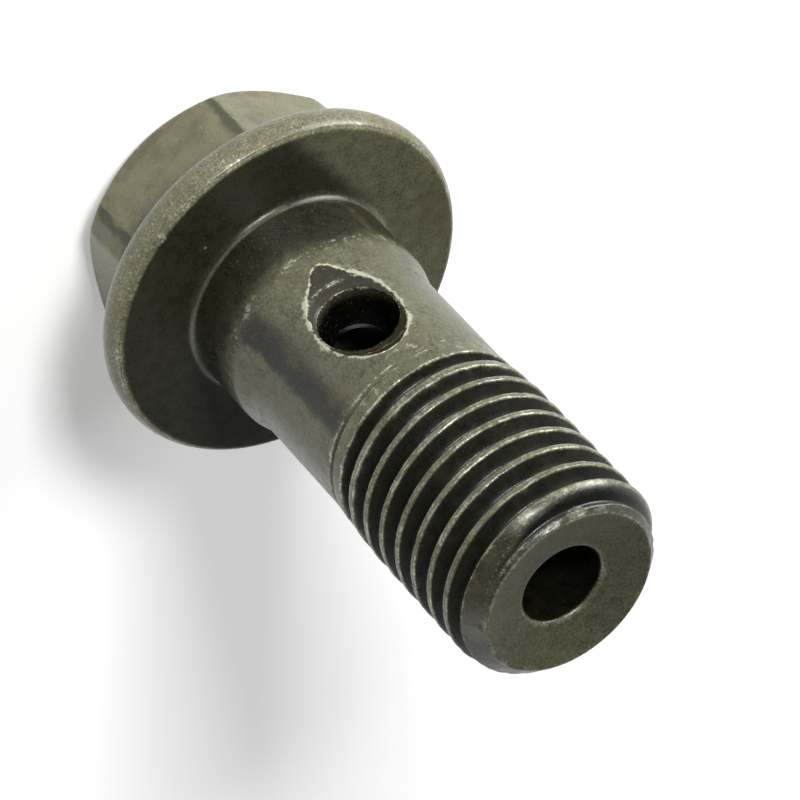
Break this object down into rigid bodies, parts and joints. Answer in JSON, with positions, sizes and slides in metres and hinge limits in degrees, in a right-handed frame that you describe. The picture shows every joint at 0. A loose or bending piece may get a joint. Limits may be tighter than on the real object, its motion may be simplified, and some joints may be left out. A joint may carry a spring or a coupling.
{
  "type": "oil line bolt",
  "caption": "Hex flange bolt with a blind oil bore from the tip, a cross hole through the plain shank and a fine metric thread.",
  "frame": {"origin": "centre of the bolt's axis in the plane of the flange's seat", "axes": "+Z along the bolt's axis towards the threaded tip, Y along the cross hole, with the mouth seen in the picture at -Y"},
  "size_m": [0.0212, 0.0212, 0.0361],
  "materials": {
    "coated_steel": "semi-gloss dark olive-grey coating on steel, worn bright at the edges"
  },
  "bodies": {
    "root": {"oil_line_bolt": "coated_steel"}
  },
  "joints": []
}
